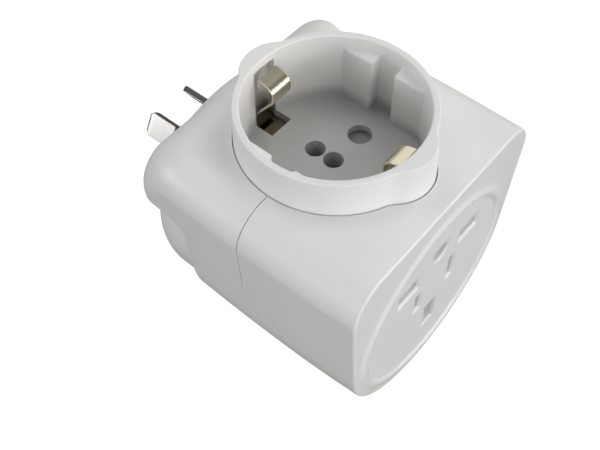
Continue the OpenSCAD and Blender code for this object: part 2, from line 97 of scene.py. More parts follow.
# ---- mesh helpers -------------------------------------------------------------------------------
def new_object(name, verts, faces):
    """Mesh object in metres from points in millimetres."""
    me = bpy.data.meshes.new(name)
    me.from_pydata([tuple(c / S for c in v) for v in verts], [],
                   [tuple(int(i) for i in f) for f in faces])
    me.validate()
    ob = bpy.data.objects.new(name, me)
    bpy.context.scene.collection.objects.link(ob)
    return ob


def loft(name, loops):
    """Closed loops of equal length, joined into a skin with closed ends."""
    loops = [np.asarray(l, float) for l in loops]
    n = len(loops[0])
    verts = np.concatenate(loops)
    faces = []
    for j in range(len(loops) - 1):
        a, b = j * n, (j + 1) * n
        for i in range(n):
            k = (i + 1) % n
            faces.append((a + i, a + k, b + k, b + i))
    faces.append(tuple(range(n - 1, -1, -1)))
    faces.append(tuple((len(loops) - 1) * n + i for i in range(n)))
    ob = new_object(name, verts, faces)
    outward(ob)
    return ob


def outward(ob):
    """Turns every face to look outwards."""
    bm = bmesh.new()
    bm.from_mesh(ob.data)
    bmesh.ops.recalc_face_normals(bm, faces=bm.faces)
    if bm.calc_volume(signed=True) < 0:
        bmesh.ops.reverse_faces(bm, faces=bm.faces)
    bm.to_mesh(ob.data)
    bm.free()


def apply_modifiers(ob):
    """Puts the modifiers' result into the mesh."""
    bpy.context.view_layer.update()
    me = bpy.data.meshes.new_from_object(ob.evaluated_get(bpy.context.evaluated_depsgraph_get()))
    ob.modifiers.clear()
    ob.data = me


def cut(ob, tools, operation="DIFFERENCE"):
    """Takes the tools out of ob, or joins them to it, and removes them."""
    for tool in tools:
        m = ob.modifiers.new("cut", "BOOLEAN")
        m.operation = operation
        m.object = tool
        m.solver = "MANIFOLD"
    apply_modifiers(ob)
    for tool in tools:
        bpy.data.objects.remove(tool)
    return ob


def join(ob, tools):
    return cut(ob, tools, "UNION")


def shade(ob, angle):
    """Smooth shading that keeps edges sharper than the angle."""
    ob.data.shade_smooth()
    ob.data.set_sharp_from_angle(angle=math.radians(angle))
    m = ob.modifiers.new("normals", "WEIGHTED_NORMAL")
    m.keep_sharp = True
    m.weight = 60


def z_ring(r, z, n, c):
    a = np.linspace(0, 2 * np.pi, n, endpoint=False)
    return np.c_[c[0] + r * np.cos(a), c[1] + r * np.sin(a), np.full(n, z)]


def x_ring(r, x, y, z, n):
    a = np.linspace(0, 2 * np.pi, n, endpoint=False)
    return np.c_[np.full(n, x), y + r * np.cos(a), z + r * np.sin(a)]


def z_lathe(name, profile, c, n):
    """Solid of revolution about a vertical axis; profile is a list of (radius, height)."""
    return loft(name, [z_ring(r, z, n, c) for r, z in profile])


def x_lathe(name, profile, y=0.0, z=0.0, n=128):
    """Solid of revolution about an axis along X; profile is a list of (radius, distance)."""
    return loft(name, [x_ring(r, x, y, z, n) for r, x in profile])


def rounded_rect(w, h, r, n=6):
    """Corner-rounded rectangle about the origin, as (a, b) pairs."""
    pts = []
    for cx, cy, a0 in ((1, 1, 0), (-1, 1, 90), (-1, -1, 180), (1, -1, 270)):
        for i in range(n + 1):
            a = math.radians(a0 + 90 * i / n)
            pts.append((cx * (w / 2 - r) + r * math.cos(a), cy * (h / 2 - r) + r * math.sin(a)))
    return np.array(pts)


def prism(name, stations, axis, centre):
    """Loft of (distance along axis, width, height, corner radius) stations about a centre."""
    loops = []
    for d, w, h, r in stations:
        p = rounded_rect(w, h, max(0.02, min(r, w / 2 - 0.01, h / 2 - 0.01)))
        along = np.full(len(p), d)
        across = (centre[0] + p[:, 0], centre[1] + p[:, 1])
        loops.append(np.column_stack((along, *across) if axis == "x" else (*across, along)))
    return loft(name, loops)


def quarter(n, first=1):
    """Sines and cosines of the n steps of a quarter turn, for rounded edges."""
    for i in range(first, n + 1):
        a = math.radians(90 * i / n)
        yield math.sin(a), math.cos(a)


# ---- blends of distance functions ----------------------------------------------------------------
def round_max(a, b, r):
    """Intersection with an edge fillet of radius r."""
    u, v = np.maximum(r + a, 0), np.maximum(r + b, 0)
    return np.minimum(-r, np.maximum(a, b)) + np.hypot(u, v)


def smooth_min(a, b, k):
    """Union with a soft crease of width k."""
    h = np.clip(0.5 + 0.5 * (b - a) / k, 0, 1)
    return b * (1 - h) + a * h - k * h * (1 - h)


def smooth_step(t):
    t = np.clip(t, 0, 1)
    return t * t * (3 - 2 * t)


# ---- the case's cross-section -------------------------------------------------------------------
# angle of the sloping side, which touches the top corner's arc and the belly's
TANGENT = (math.atan2(CZ - BELLY_Z, CY)
           - math.acos((BELLY_R - CR) / math.hypot(CY, CZ - BELLY_Z)))


def barrel(x):
    """How far the case's sides and belly draw in at a distance from the plug face."""
    return np.where(x > 45, -0.6 * ((x - 45) / 20.0) ** 2, -0.6 * ((45 - x) / 28.0) ** 2)


def section():
    """Points and outward normals round the section, evenly spaced, from the right tangent."""
    t = TANGENT
    parts = []

    def arc(cy, cz, r, a0, a1):
        length = abs(a1 - a0) * r
        n = max(6, int(length / 0.55))
        if length / n > 0.35 and r < 12:
            n = int(length / 0.35)
        a = np.linspace(a0, a1, n + 1)
        parts.append(np.c_[cy + r * np.cos(a), cz + r * np.sin(a), np.cos(a), np.sin(a)])

    arc(CY, CZ, CR, t, math.pi / 2)
    arc(-CY, CZ, CR, math.pi / 2, math.pi - t)
    arc(0, BELLY_Z, BELLY_R, math.pi - t, 2 * math.pi + t)
    out = []
    for i, p in enumerate(parts):
        out.append(p[:-1])
        a, b = p[-1], parts[(i + 1) % 3][0]
        n = max(1, int(np.hypot(*(b[:2] - a[:2])) / 0.9))
        f = np.linspace(0, 1, n, endpoint=False)[:, None]
        out.append(a * (1 - f) + b * f)
    s = np.concatenate(out)
    s[:, 2:] /= np.linalg.norm(s[:, 2:], axis=1)[:, None]
    return s


def skin(sec, x, inset=0.0):
    """The section's points at x, drawn in by the case's slight barrel and by inset."""
    w = 1 - np.clip(sec[:, 3], 0, 1) ** 2
    x = np.broadcast_to(np.asarray(x, float), (len(sec),))
    d = barrel(x) * w - inset
    return np.c_[x, sec[:, 0] + d * sec[:, 2], sec[:, 1] + d * sec[:, 3]]


def flank_sdf(y, z):
    """The belly and the sloping sides, without the top; y is not negative."""
    c, s = math.cos(TANGENT), math.sin(TANGENT)
    return np.where((z - BELLY_Z) * c < y * s, np.hypot(y, z - BELLY_Z) - BELLY_R,
                    y * c + (z - BELLY_Z) * s - BELLY_R)


def section_sdf(y, z):
    """The whole cross-section; y is not negative."""
    corner = ((z - CZ) * math.cos(TANGENT) > (y - CY) * math.sin(TANGENT)) & (y > CY)
    return np.where(corner, np.hypot(y - CY, z - CZ) - CR, np.maximum(flank_sdf(y, z), z - TOP))


# ---- the parting line between the shells, as height against distance ----------------------------
PART_TOP = (35.3, TOP)
KINK = (34.7, 7.6)
ARC_C, ARC_R = (29.3, -7.9), 15.7


def parting_path():
    """(x, z) points of the joint line from above the case to below it."""
    a0 = math.acos((KINK[0] - ARC_C[0]) / ARC_R) - math.radians(6)
    pts = [(PART_TOP[0], TOP + 20), PART_TOP]
    for i in range(1, 8):
        f = i / 8
        pts.append((PART_TOP[0] + (KINK[0] - PART_TOP[0]) * f, TOP + (KINK[1] - TOP) * f))
    pts.append(KINK)
    for i in range(25):
        a = a0 * (1 - i / 24)
        pts.append((ARC_C[0] + ARC_R * math.cos(a), ARC_C[1] + ARC_R * math.sin(a)))
    pts.append((ARC_C[0] + ARC_R, -60))
    return pts


def parting_cutter(keep):
    """Solid that covers everything ahead of (keep='rear') or behind (keep='front') the joint line,
    and half of the gap along it."""
    far, half_gap = (90, -0.1) if keep == "rear" else (-30, 0.1)
    path = [(x + half_gap, z) for x, z in parting_path()]
    poly = path + [(far, -60), (far, TOP + 20)]
    n = len(poly)
    verts = [(x, -60, z) for x, z in poly] + [(x, 60, z) for x, z in poly]
    faces = [tuple(range(n)), tuple(range(2 * n - 1, n - 1, -1))]
    for i in range(n):
        k = (i + 1) % n
        faces.append((i, i + n, k + n, k))
    ob = new_object("parting_cutter", verts, faces)
    outward(ob)
    return ob


def parting_x(z):
    """The joint line's distance from the plug face at a height."""
    path = parting_path()
    zs = np.array([p[1] for p in path])[::-1]
    xs = np.array([p[0] for p in path])[::-1]
    return np.interp(z, zs, xs)


def groove():
    """V-groove that breaks the two shells' edges all along the joint line."""
    half, depth = 0.12, 0.12
    sec = section()
    pts = skin(sec, parting_x(skin(sec, 40.0)[:, 2]))
    nx = np.c_[np.zeros(len(sec)), sec[:, 2], sec[:, 3]]
    along = np.roll(pts, -1, 0) - np.roll(pts, 1, 0)
    along /= np.linalg.norm(along, axis=1)[:, None]
    across = np.cross(along, nx)
    across /= np.linalg.norm(across, axis=1)[:, None]
    loops = [pts - nx * depth, pts + across * half * 2 + nx * depth, pts + nx * 1.2,
             pts - across * half * 2 + nx * depth]
    n = len(pts)
    verts = np.concatenate(loops)
    faces = []
    for j in range(4):
        a, b = j * n, ((j + 1) % 4) * n
        for i in range(n):
            k = (i + 1) % n
            faces.append((a + i, a + k, b + k, b + i))
    ob = new_object("groove", verts, faces)
    outward(ob)
    return ob


# ---- outline of the cup and of the hole it stands in --------------------------------------------
EAR_X, EAR_R, RING_R = 14.8, 8.5, 21.15


def cup_sdf(x, y, ear_grow):
    """The cup's outline about its axis: a ring with an ear on each side."""
    ears = np.hypot(np.abs(x) - EAR_X, y) - EAR_R - ear_grow
    return smooth_min(np.hypot(x, y) - RING_R, ears, 0.8)


CUP_N = 512
CUP_T = np.linspace(0, 2 * np.pi, CUP_N, endpoint=False)


def cup_outline(grow, z, ear_grow=0.0):
    """Loop at height z, grow outside the cup's outline, found by halving along each ray."""
    lo, hi = np.full(CUP_N, 15.0), np.full(CUP_N, 32.0)
    for _ in range(40):
        mid = (lo + hi) / 2
        inside = cup_sdf(mid * np.cos(CUP_T), mid * np.sin(CUP_T), ear_grow) < grow
        lo, hi = np.where(inside, mid, lo), np.where(inside, hi, mid)
    return np.c_[CUP_X + lo * np.cos(CUP_T), lo * np.sin(CUP_T), np.full(CUP_N, z)]


def cup_ring(r, z):
    """Circle with a point on each of the outline's rays."""
    return np.c_[CUP_X + r * np.cos(CUP_T), r * np.sin(CUP_T), np.full(CUP_N, z)]


def cup_hole():
    """Cutter for the hole in the case's top, with a rounded mouth."""
    gap, fillet, ears = 0.26, 0.18, 0.5
    loops = [cup_outline(gap, 10, ears), cup_outline(gap, TOP - fillet, ears)]
    for s, c in quarter(5):
        loops.append(cup_outline(gap + fillet * (1 - c), TOP - fillet + fillet * s, ears))
    loops.append(cup_outline(gap + fillet + 0.6, TOP + 0.5, ears))
    loops.append(cup_outline(gap + fillet + 0.6, TOP + 20, ears))
    return loft("cup_hole", loops)


# ---- the rear half's form, as distance functions -------------------------------------------------
def wide_sdf(x, y, z):
    """The wide part of the case: its top rolls over into the rear, one fillet runs round that
    whole edge, and a ledge and a step make room for the drum. The upper corner on the +Y side is
    sharper and draws in by 2.4 mm towards the rear."""
    edge = 6 + np.where(y < 0, 3.0, -3.3) * smooth_step((z - 15) / 10)
    m = smooth_step((x - np.where(y < 0, 14, 8)) / 14)
    draw_in = smooth_step((34.3 - x) / 16) * smooth_step(y / 12) * smooth_step((z - 12) / 10)
    y = np.abs(y) + 2.4 * draw_in
    side = flank_sdf(y, z) - barrel(x)
    cx, cz = OVER_X + OVER_R, TOP - OVER_R
    upper = np.where((x < cx) & (z > cz), np.hypot(x - cx, z - cz) - OVER_R,
                     np.maximum(OVER_X - x, z - TOP))
    w = 1 - np.clip((z - CZ) / CR, 0, 1) ** 2
    ahead = np.maximum(section_sdf(y, z) - barrel(x) * w, upper)
    form = round_max(side, upper, edge) * (1 - m) + ahead * m
    fx, fz = STEP_X - LEDGE_F, LEDGE_Z - LEDGE_F
    notch = np.where((x > fx) & (z > fz), np.hypot(x - fx, z - fz) - LEDGE_F,
                     np.maximum(x - STEP_X, z - LEDGE_Z))
    return round_max(form, -notch, 0.4)


def drum_sdf(x, y, z):
    """Round drum about the X axis, its rear edge filleted."""
    a, b = np.hypot(y, z) - (DRUM_R - DRUM_E), (DRUM_X + DRUM_E) - x
    return (np.minimum(np.maximum(a, b), 0) + np.hypot(np.maximum(a, 0), np.maximum(b, 0))
            - DRUM_E)


def rear_sdf(p):
    x, y, z = p[..., 0], p[..., 1], p[..., 2]
    crease = 0.6 + 1.6 * smooth_step((z - 12) / 7)
    return smooth_min(wide_sdf(x, y, z), drum_sdf(x, y, z), crease)


def surface_net(name, f, lo, hi, h):
    """Closed quad mesh of f = 0, its points moved onto the surface."""
    ax = [np.arange(a, b + h, h) for a, b in zip(lo, hi)]
    X, Y, Z = np.meshgrid(*ax, indexing="ij")
    v = f(np.stack([X, Y, Z], -1))
    for side in (v[0], v[-1], v[:, 0], v[:, -1], v[:, :, 0], v[:, :, -1]):
        np.maximum(side, h, out=side)
    neg = v < 0
    n = [s - 1 for s in v.shape]
    acc = np.zeros(n + [3])
    cnt = np.zeros(n)
    for d in range(3):
        o1, o2 = [k for k in range(3) if k != d]
        for p, q in ((0, 0), (0, 1), (1, 0), (1, 1)):
            sl0, sl1 = [None] * 3, [None] * 3
            sl0[d], sl1[d] = slice(0, -1), slice(1, None)
            for o, s in ((o1, p), (o2, q)):
                sl0[o] = sl1[o] = slice(s, v.shape[o] - 1 + s)
            a, b = v[tuple(sl0)], v[tuple(sl1)]
            m = (a < 0) != (b < 0)
            t = np.where(m, a / np.where(m, a - b, 1), 0)
            pos = [None] * 3
            pos[d], pos[o1], pos[o2] = t, np.full(a.shape, float(p)), np.full(a.shape, float(q))
            for k in range(3):
                acc[..., k] += np.where(m, pos[k], 0)
            cnt += m
    used = cnt > 0
    index = -np.ones(n, int)
    index[used] = np.arange(used.sum())
    cells = np.argwhere(used)
    verts = np.array(lo) + h * (cells + acc[used] / cnt[used][:, None])
    faces = []
    for d in range(3):
        o1, o2 = (d + 1) % 3, (d + 2) % 3
        sl0, sl1 = [slice(None)] * 3, [slice(None)] * 3
        sl0[d], sl1[d] = slice(0, -1), slice(1, None)
        a, b = neg[tuple(sl0)], neg[tuple(sl1)]
        for flip, m in ((False, a & ~b), (True, ~a & b)):
            e = np.argwhere(m)
            e = e[(e[:, o1] > 0) & (e[:, o2] > 0)
                  & (e[:, o1] < v.shape[o1] - 1) & (e[:, o2] < v.shape[o2] - 1)]
            quad = []
            for p, q in ((1, 1), (0, 1), (0, 0), (1, 0)):
                c = e.copy()
                c[:, o1] -= p
                c[:, o2] -= q
                quad.append(index[c[:, 0], c[:, 1], c[:, 2]])
            quad = np.stack(quad, 1)
            faces.append(quad[:, ::-1] if flip else quad)
    faces = np.concatenate(faces)
    inner = np.all((verts > np.array(lo) + h) & (verts < np.array(hi) - h), axis=1)
    e = 1e-3
    for _ in range(4):
        p = verts[inner]
        g = np.stack([(f(p + d) - f(p - d)) / (2 * e) for d in np.eye(3) * e], -1)
        g2 = np.maximum((g ** 2).sum(-1), 0.05)
        step = -(f(p) / g2)[:, None] * g
        verts[inner] = p + np.clip(step, -h * 0.5, h * 0.5)
    ob = new_object(name, verts, faces)
    outward(ob)
    return ob


# ---- materials ----------------------------------------------------------------------------------
def material(name, base, rough, metallic=0.0, grain=900.0, bump=0.04, vary=0.03, streak=None,
             specular=0.5, painted_shade_foot=None):
    """Procedural finish: fine grain in bump and roughness, slow drift of colour, drawn streaks.

    painted_shade_foot = (z low, z high, share) is painted shade: it darkens the colour towards a
    piece's lower end, standing in for the shade that falls there."""
    m = bpy.data.materials.new(name)
    m.use_nodes = True
    nt = m.node_tree
    nd, lk = nt.nodes, nt.links
    bsdf = nd["Principled BSDF"]
    bsdf.inputs["Metallic"].default_value = metallic
    bsdf.inputs["Specular IOR Level"].default_value = specular
    co = nd.new("ShaderNodeTexCoord")
    mp = nd.new("ShaderNodeMapping")
    lk.new(co.outputs["Object"], mp.inputs["Vector"])
    if streak:
        mp.inputs["Scale"].default_value = streak
    fine = nd.new("ShaderNodeTexNoise")
    fine.inputs["Scale"].default_value = grain
    fine.inputs["Detail"].default_value = 3.0
    fine.inputs["Roughness"].default_value = 0.6
    lk.new(mp.outputs["Vector"], fine.inputs["Vector"])
    slow = nd.new("ShaderNodeTexNoise")
    slow.inputs["Scale"].default_value = 55.0
    slow.inputs["Detail"].default_value = 4.0
    lk.new(co.outputs["Object"], slow.inputs["Vector"])
    ramp = nd.new("ShaderNodeValToRGB")
    lo = [max(0.0, c * (1 - vary)) for c in base]
    hi = [min(1.0, c * (1 + vary)) for c in base]
    ramp.color_ramp.elements[0].color = (*lo, 1)
    ramp.color_ramp.elements[0].position = 0.3
    ramp.color_ramp.elements[1].color = (*hi, 1)
    ramp.color_ramp.elements[1].position = 0.7
    lk.new(slow.outputs["Fac"], ramp.inputs["Fac"])
    colour = ramp.outputs["Color"]
    # painted shade: the base colour is darkened towards the piece's lower end, in place of the shade
    # that falls there
    if painted_shade_foot:
        sep = nd.new("ShaderNodeSeparateXYZ")
        lk.new(co.outputs["Object"], sep.inputs[0])
        low = nd.new("ShaderNodeMapRange")
        low.interpolation_type = "SMOOTHSTEP"
        low.inputs["From Min"].default_value = painted_shade_foot[0] / S
        low.inputs["From Max"].default_value = painted_shade_foot[1] / S
        low.inputs["To Min"].default_value = painted_shade_foot[2]
        low.inputs["To Max"].default_value = 1.0
        lk.new(sep.outputs["Z"], low.inputs["Value"])
        painted_shade_mix = nd.new("ShaderNodeMix")
        painted_shade_mix.data_type = "RGBA"
        painted_shade_mix.blend_type = "MULTIPLY"
        painted_shade_mix.inputs["Factor"].default_value = 1.0
        lk.new(colour, painted_shade_mix.inputs["A"])
        lk.new(low.outputs["Result"], painted_shade_mix.inputs["B"])
        colour = painted_shade_mix.outputs["Result"]
    lk.new(colour, bsdf.inputs["Base Color"])
    mix = nd.new("ShaderNodeMath")
    mix.operation = "MULTIPLY_ADD"
    lk.new(fine.outputs["Fac"], mix.inputs[0])
    mix.inputs[1].default_value = 0.12
    mix.inputs[2].default_value = rough - 0.06
    add = nd.new("ShaderNodeMath")
    add.operation = "MULTIPLY_ADD"
    lk.new(slow.outputs["Fac"], add.inputs[0])
    add.inputs[1].default_value = 0.08
    lk.new(mix.outputs[0], add.inputs[2])
    lk.new(add.outputs[0], bsdf.inputs["Roughness"])
    b = nd.new("ShaderNodeBump")
    b.inputs["Strength"].default_value = bump
    b.inputs["Distance"].default_value = 0.0002
    lk.new(fine.outputs["Fac"], b.inputs["Height"])
    lk.new(b.outputs["Normal"], bsdf.inputs["Normal"])
    return m


CASE_FINISH = dict(base=(0.80, 0.795, 0.78), rough=0.30, grain=1600, bump=0.04, vary=0.006,
                   specular=0.42)
WHITE = material("case_white", **CASE_FINISH)
# the cup's white carries painted shade: its floor and the foot of its wall are darkened, standing in
# for the shade deep in the recess
CUP_WHITE_PAINTED_SHADE = material("cup_white_painted_shade", painted_shade_foot=(FLOOR + 0.3, FLOOR + 4.0, 0.65), **CASE_FINISH)
PLATE = material("plate_white", (0.775, 0.772, 0.762), 0.38, grain=1800, bump=0.05, vary=0.006,
                 specular=0.3)
INNER = material("inner_grey", (0.60, 0.595, 0.58), 0.5, grain=1400, bump=0.06, vary=0.02,
                 specular=0.35)
SLEEVE = material("sleeve_black", (0.018, 0.018, 0.019), 0.4, grain=1500, bump=0.08, vary=0.2,
                  specular=0.5)
NICKEL = material("nickel_plate", (0.57, 0.56, 0.548), 0.26, metallic=1.0, grain=900, bump=0.008,
                  vary=0.02, streak=(0.15, 4, 4))
BRASS = material("satin_brass", (0.72, 0.655, 0.47), 0.27, metallic=1.0, grain=500, bump=0.05,
                 vary=0.03, streak=(4, 0.15, 4))
# the clips' brass carries painted shade: the lower bend and leg, down in the window and pocket, are
# darkened to a quarter
CLIP_BRASS_PAINTED_SHADE = material("clip_brass_painted_shade", (0.80, 0.735, 0.54), 0.2, metallic=1.0, grain=500, bump=0.04,
                      vary=0.02, streak=(4, 0.15, 4), painted_shade_foot=(25.0, 28.5, 0.25))
# painted shade: the strap's brass is made dark, standing in for the shade in the pockets under the
# cup floor
STRAP_BRASS_PAINTED_SHADE = material("strap_brass_painted_shade", (0.28, 0.25, 0.185), 0.4, metallic=1.0, grain=500,
                       bump=0.05, vary=0.08, streak=(0.15, 4, 4))
SHUTTER_GREY = material("shutter_grey", (0.31, 0.31, 0.30), 0.55, grain=1400, bump=0.06,
                        vary=0.02, specular=0.3)
ZINC = material("zinc_plate", (0.60, 0.61, 0.63), 0.32, metallic=1.0, grain=900, bump=0.05,
                vary=0.05)


def paint(ob, mat):
    ob.data.materials.clear()
    ob.data.materials.append(mat)
    for p in ob.data.polygons:
        p.material_index = 0


def finish(ob, name, body, mat, node, angle=32):
    """Shades and paints a piece, and puts it in the place of its CAD node."""
    ob.name = name
    paint(ob, mat)
    shade(ob, angle)
    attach(ob, body)
    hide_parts(node)
    return ob


# ---- front shell --------------------------------------------------------------------------------
# the raised bead round the disc, as (radius, height over the front face)
BEAD = [(24.0, 0.0), (24.24, 0.02), (24.42, 0.2), (24.64, 0.37), (24.9, 0.51), (25.25, 0.56),
        (25.6, 0.54), (25.95, 0.46), (26.3, 0.35), (26.65, 0.23), (27.0, 0.13), (27.35, 0.05)]


def front_shell():
    sec = section()
    r = 0.55                                 # fillet round the front face
    loops = [skin(sec, x) for x in list(np.arange(28, FRONT - r - 1, 2.0)) + [FRONT - r]]
    for s, c in quarter(7):
        loops.append(skin(sec, FRONT - r + r * s, r * (1 - c)))
    edge = loops[-1]
    rad = np.hypot(edge[:, 1], edge[:, 2])
    c, s = edge[:, 1] / rad, edge[:, 2] / rad
    last = BEAD[-1][0]
    for f in (0.9, 0.75, 0.55, 0.35, 0.15):
        rho = last + (rad - last) * f
        h = 0.05 * np.clip(1 - (rho - last) / 0.9, 0, 1) ** 2
        loops.append(np.c_[FRONT + h, rho * c, rho * s])
    for rho, h in BEAD[::-1]:
        loops.append(np.c_[np.full(len(c), FRONT + h), rho * c, rho * s])
    ob = loft("front_shell_form", loops)
    inner = loft("inner", [skin(sec, x, 2.0) for x in (20, 30, 40, 45, 50, 55, FRONT - 2.0)])
    hole = x_lathe("hole", [(24.14, 55), (24.14, 70)], n=256)
    return cut(ob, [inner, hole, parting_cutter("front"), cup_hole(), groove()])


finish(front_shell(), "front_shell_body", "case", WHITE, "front_shell")


# ---- rear shell ---------------------------------------------------------------------------------
def rear_shell():
    fine = 0.45
    ob = surface_net("rear_shell_form", rear_sdf, (-1.2, -32.6, -31.6), (47, 32.6, 32.8), fine)
    inner = surface_net("inner", lambda p: rear_sdf(p) + 2.1, (-1.0, -32, -31), (50, 32, 32), 1.0)
    mouth = [(17.1, -2), (16.75, DRUM_X - 0.02), (16.6, DRUM_X + 0.25), (16.6, 6)]
    tools = [inner, x_lathe("plug", mouth, n=160), parting_cutter("rear"), cup_hole(), groove()]
    for y, z, depth in SCREWS:
        tools.append(x_lathe("screw_hole", [(3.1, -2), (3.1, depth)], y, z, 48))
    return cut(ob, tools)


scr_lo, scr_hi = mm("case_screws")
HEAD_R = 2.7
SCREWS = [(scr_lo[1] + HEAD_R, 10.0, 8.0), (scr_hi[1] - HEAD_R, 10.0, 8.0),
          (0.0, scr_lo[2] + HEAD_R, 18.0)]
finish(rear_shell(), "rear_shell_body", "case", WHITE, "rear_shell")


# ---- cup ----------------------------------------------------------------------------------------
def box_tool(name, lo, hi, r=0.15):
    """Box with rounded vertical edges."""
    w, d = hi[0] - lo[0], hi[1] - lo[1]
    return prism(name, [(lo[2], w, d, r), (hi[2], w, d, r)], "z",
                 ((lo[0] + hi[0]) / 2, (lo[1] + hi[1]) / 2))


def rib(sx, sy):
    """Keying rib with a flat face, rounded edges and a top that falls towards the middle."""
    x0, x1, y0, y1 = 2.8, 12.4, 16.3, 20.4
    top = RIM - 3.0
    cx, cy = (x0 + x1) / 2, (y0 + y1) / 2
    levels = [(FLOOR - 1, 0), (top - 8, 0), (top - 0.8, 0)]
    levels += [(top - 0.8 + 0.6 * s, -0.6 * (1 - c)) for s, c in quarter(5)]
    loops = []
    for z, g in levels:
        p = rounded_rect(x1 - x0 + 2 * g, y1 - y0 + 2 * g, max(0.1, 0.55 + g * 0.6), 5)
        fall = 0.175 if z > top - 1 else 0
        loops.append(np.c_[CUP_X + sx * (cx + p[:, 0]), sy * (cy + p[:, 1]),
                           z + fall * (cy + p[:, 1] - y0)])
    ob = loft("rib", loops)
    within = z_lathe("within", [(20.2, 0), (20.2, 80)], (CUP_X, 0), 256)
    return cut(ob, [within], "INTERSECT")


def schuko_cup():
    loops = []
    for z in (FLOOR_LOW, 24, 27, TOP, 33, 35, 37, 39, RIM - 0.3):
        f = min((RIM - z) / 9, 1.2)
        loops.append(cup_outline(0.10 * f, z, 0.45 * f))
    for s, c in quarter(5):
        loops.append(cup_outline(-0.3 * (1 - c), RIM - 0.3 + 0.3 * s))
    for s, c in quarter(5, 0):
        loops.append(cup_ring(CUP_R + 0.35 * (1 - s), RIM - 0.35 + 0.35 * c))
    for z in (38, 36, 33, 30, 27, 25, FLOOR + 0.25):
        loops.append(cup_ring(CUP_R - 0.06 * (RIM - z) / 9, z))
    for s, c in quarter(5):
        loops.append(cup_ring(CUP_R - 0.11 - 0.25 * (1 - c), FLOOR + 0.25 - 0.25 * s))
    loops.append(cup_ring(12.0, FLOOR))
    ob = loft("cup_form", loops)
    join(ob, [rib(sx, sy) for sx in (-1, 1) for sy in (-1, 1)])
    collar = [(2.93, 17.65), (2.93, FLOOR_LOW + 0.5)]
    join(ob, [z_lathe("collar", collar, (CUP_X + x, 0), 72) for x in (0, -5)])
    tools = []
    for s in (-1, 1):
        def slit(name, a, b, bottom, top, r=0.15):
            x0, x1 = sorted((CUP_X + s * a, CUP_X + s * b))
            tools.append(box_tool(name, (x0, -3.25, bottom), (x1, 3.25, top), r))
        slit("window", 17.0, 20.9, FLOOR - 0.5, RIM - 1.9)
        slit("pocket", 14.6, 21.9, FLOOR_LOW - 1, FLOOR + 0.4, 0.1)
    for x, y, r in ((0, -9.5, 2.75), (0, 9.5, 2.75), (0, 0, 2.25), (-5, 0, 2.25)):
        prof = [(r, FLOOR_LOW - 5), (r, FLOOR - 0.15)]
        prof += [(r + 0.15 * (1 - c), FLOOR - 0.15 + 0.15 * s) for s, c in quarter(3)]
        prof.append((r + 0.16, FLOOR + 1))
        tools.append(z_lathe("pin_hole", prof, (CUP_X + x, y), 72))
    return cut(ob, tools)


finish(schuko_cup(), "cup_body", "case", CUP_WHITE_PAINTED_SHADE, "schuko_cup", 28)


# ---- front socket plate -------------------------------------------------------------------------
def slot_tool(y, z, w, h, b):
    """Cutter for a flat pin's slot, its mouth chamfered by b."""
    st = [(plate_lo[0] - 3, w, h, 0.3), (FRONT - 0.6, w, h, 0.3)]
    for x, g, r in ((FRONT - 0.06, 2 * b - 0.1, 0.3), (FRONT + 0.02, 2 * b + 0.1, 0.35),
                    (FRONT + 1, 2 * b + 0.2, 0.35)):
        st.append((x, w + g, h + g, r))
    return prism("slot", st, "x", (y, z))


def ground_tool():
    """Cutter for the ground pin's hole, round below and square above, its mouth chamfered."""
    loops = []
    for x, g in ((plate_lo[0] - 3, 0), (FRONT - 0.5, 0), (FRONT - 0.05, 0.36),
                 (FRONT + 0.02, 0.44), (FRONT + 1, 0.46)):
        r = 2.7 + g
        pts = [(-r, 17.2 + g)]
        for i in range(25):
            a = math.radians(180 + 180 * i / 24)
            pts.append((r * math.cos(a), GROUND_Z + r * math.sin(a)))
        pts.append((r, 17.2 + g))
        loops.append(np.c_[np.full(len(pts), x), np.array(pts)])
    return loft("ground", loops)


def socket_plate():
    prof = [(25.5, plate_hi[0] - 2.8), (25.5, FRONT - 2.1), (24.2, FRONT - 2.1), (24.2, FRONT - 0.2),
            (24.02, FRONT - 0.2), (23.97, FRONT - 0.05), (23.9, FRONT)]
    ob = x_lathe("plate_form", prof, n=256)
    return cut(ob, [slot_tool(-UK_Y, UK_Z, 6.8, 4.4, 0.5), slot_tool(UK_Y, UK_Z, 6.8, 4.4, 0.5),
                    slot_tool(0, EARTH_Z, 4.2, 8.7, 0.35), slot_tool(US_Y, US_Z, 1.9, 8.5, 0.5),
                    slot_tool(-US_Y, US_Z, 1.9, 6.6, 0.5), ground_tool()])


finish(socket_plate(), "front_plate", "case", PLATE, "socket_plate", 25)


# ---- plug ---------------------------------------------------------------------------------------
def turned(ob, y, z, deg):
    """Turns a piece modelled about the X axis and sets it at a pin's place."""
    ob.data.transform(Matrix.Translation(Vector((0, y / S, z / S)))
                      @ Matrix.Rotation(math.radians(deg), 4, "X"))
    return ob


def flat_pin(tip, tail, sleeved):
    """Blade with a tapered tip; a sleeved one is thinner where its sleeve goes."""
    st = [(tip, 4.5, 1.0), (tip + 0.2, 5.0, 1.3), (tip + 0.5, 5.6, 1.5), (tip + 1.0, 6.05, PIN_T),
          (tip + 1.6, PIN_W, PIN_T)]
    if sleeved:
        st += [(-9.2, PIN_W, PIN_T), (-8.66, PIN_W, PIN_T), (-8.62, 5.6, 1.0), (-0.02, 5.6, 1.0)]
    else:
        st += [(-9.9, PIN_W, PIN_T)]
    st += [(0, PIN_W, PIN_T), (tail, PIN_W, PIN_T)]
    return prism("pin", [(x, t, w, 0.16) for x, w, t in st], "x", (0, 0))


def pin_sleeve():
    w, t = 6.5, 1.78
    st = [(-8.6, w - 0.3, t - 0.3, 0.2), (-8.52, w - 0.1, t - 0.1, 0.28), (-8.35, w, t, 0.34),
          (-0.05, w, t, 0.34)]
    ob = prism("sleeve", [(x, t, w, r) for x, w, t, r in st], "x", (0, 0))
    core = prism("core", [(-12, 1.02, 5.62, 0.28), (2, 1.02, 5.62, 0.28)], "x", (0, 0))
    return cut(ob, [core])


